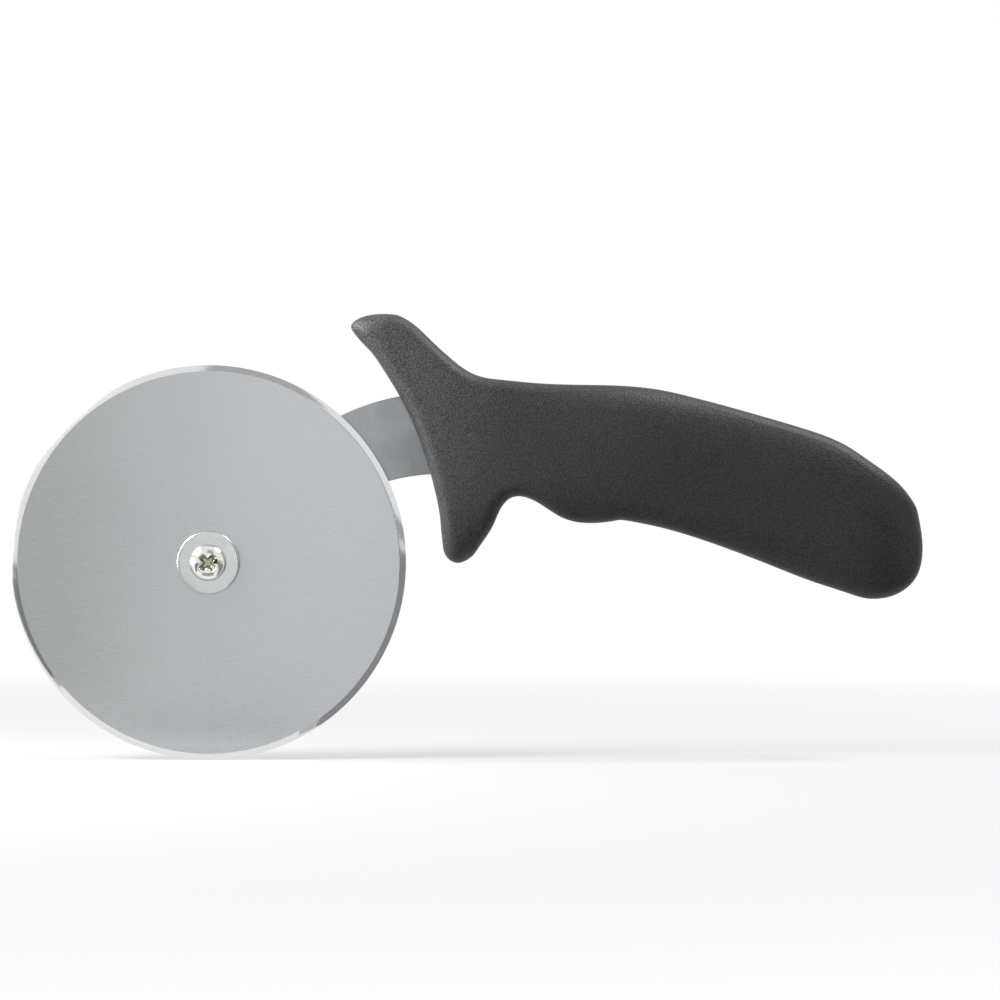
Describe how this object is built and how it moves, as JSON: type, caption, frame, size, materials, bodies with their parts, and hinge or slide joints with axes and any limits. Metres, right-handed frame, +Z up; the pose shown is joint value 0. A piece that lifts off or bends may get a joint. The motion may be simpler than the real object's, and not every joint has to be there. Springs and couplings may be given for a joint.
{
  "type": "pizza cutter wheel",
  "caption": "Hand-held rotary food cutter: a bevelled steel wheel on a screwed axle, carried by a flat steel arm in a moulded black handle with thumb horn and finger guard.",
  "frame": {"origin": "centre of the cutting wheel, on its axle and at the middle of its thickness", "axes": "+Y along the axle from the screw head towards the cap nut, +X from the wheel towards the handle, +Z up with the tool held for rolling on a board"},
  "size_m": [0.2344, 0.0233, 0.1148],
  "materials": {
    "wheel_steel": "satin rolled sheet with a bright ground bevel",
    "arm_steel": "satin rolled sheet",
    "washer_steel": "bright, lightly turned",
    "fastener_steel": "bright nickel plate",
    "handle_plastic": "moulded, with a fine pebbled texture"
  },
  "bodies": {
    "holder": {"axle_sleeve": "washer_steel", "front_washer": "washer_steel", "rear_washer": "washer_steel", "axle_screw": "fastener_steel", "lock_washer": "fastener_steel", "cap_nut": "fastener_steel", "arm": "arm_steel", "handle": "handle_plastic"},
    "wheel": {"cutting_wheel": "wheel_steel"}
  },
  "joints": [
    {"name": "wheel_spin", "type": "hinge", "parent": "holder", "child": "wheel", "pos_m": [0, 0, 0], "axis": [0, 1, 0], "continuous": true}
  ]
}
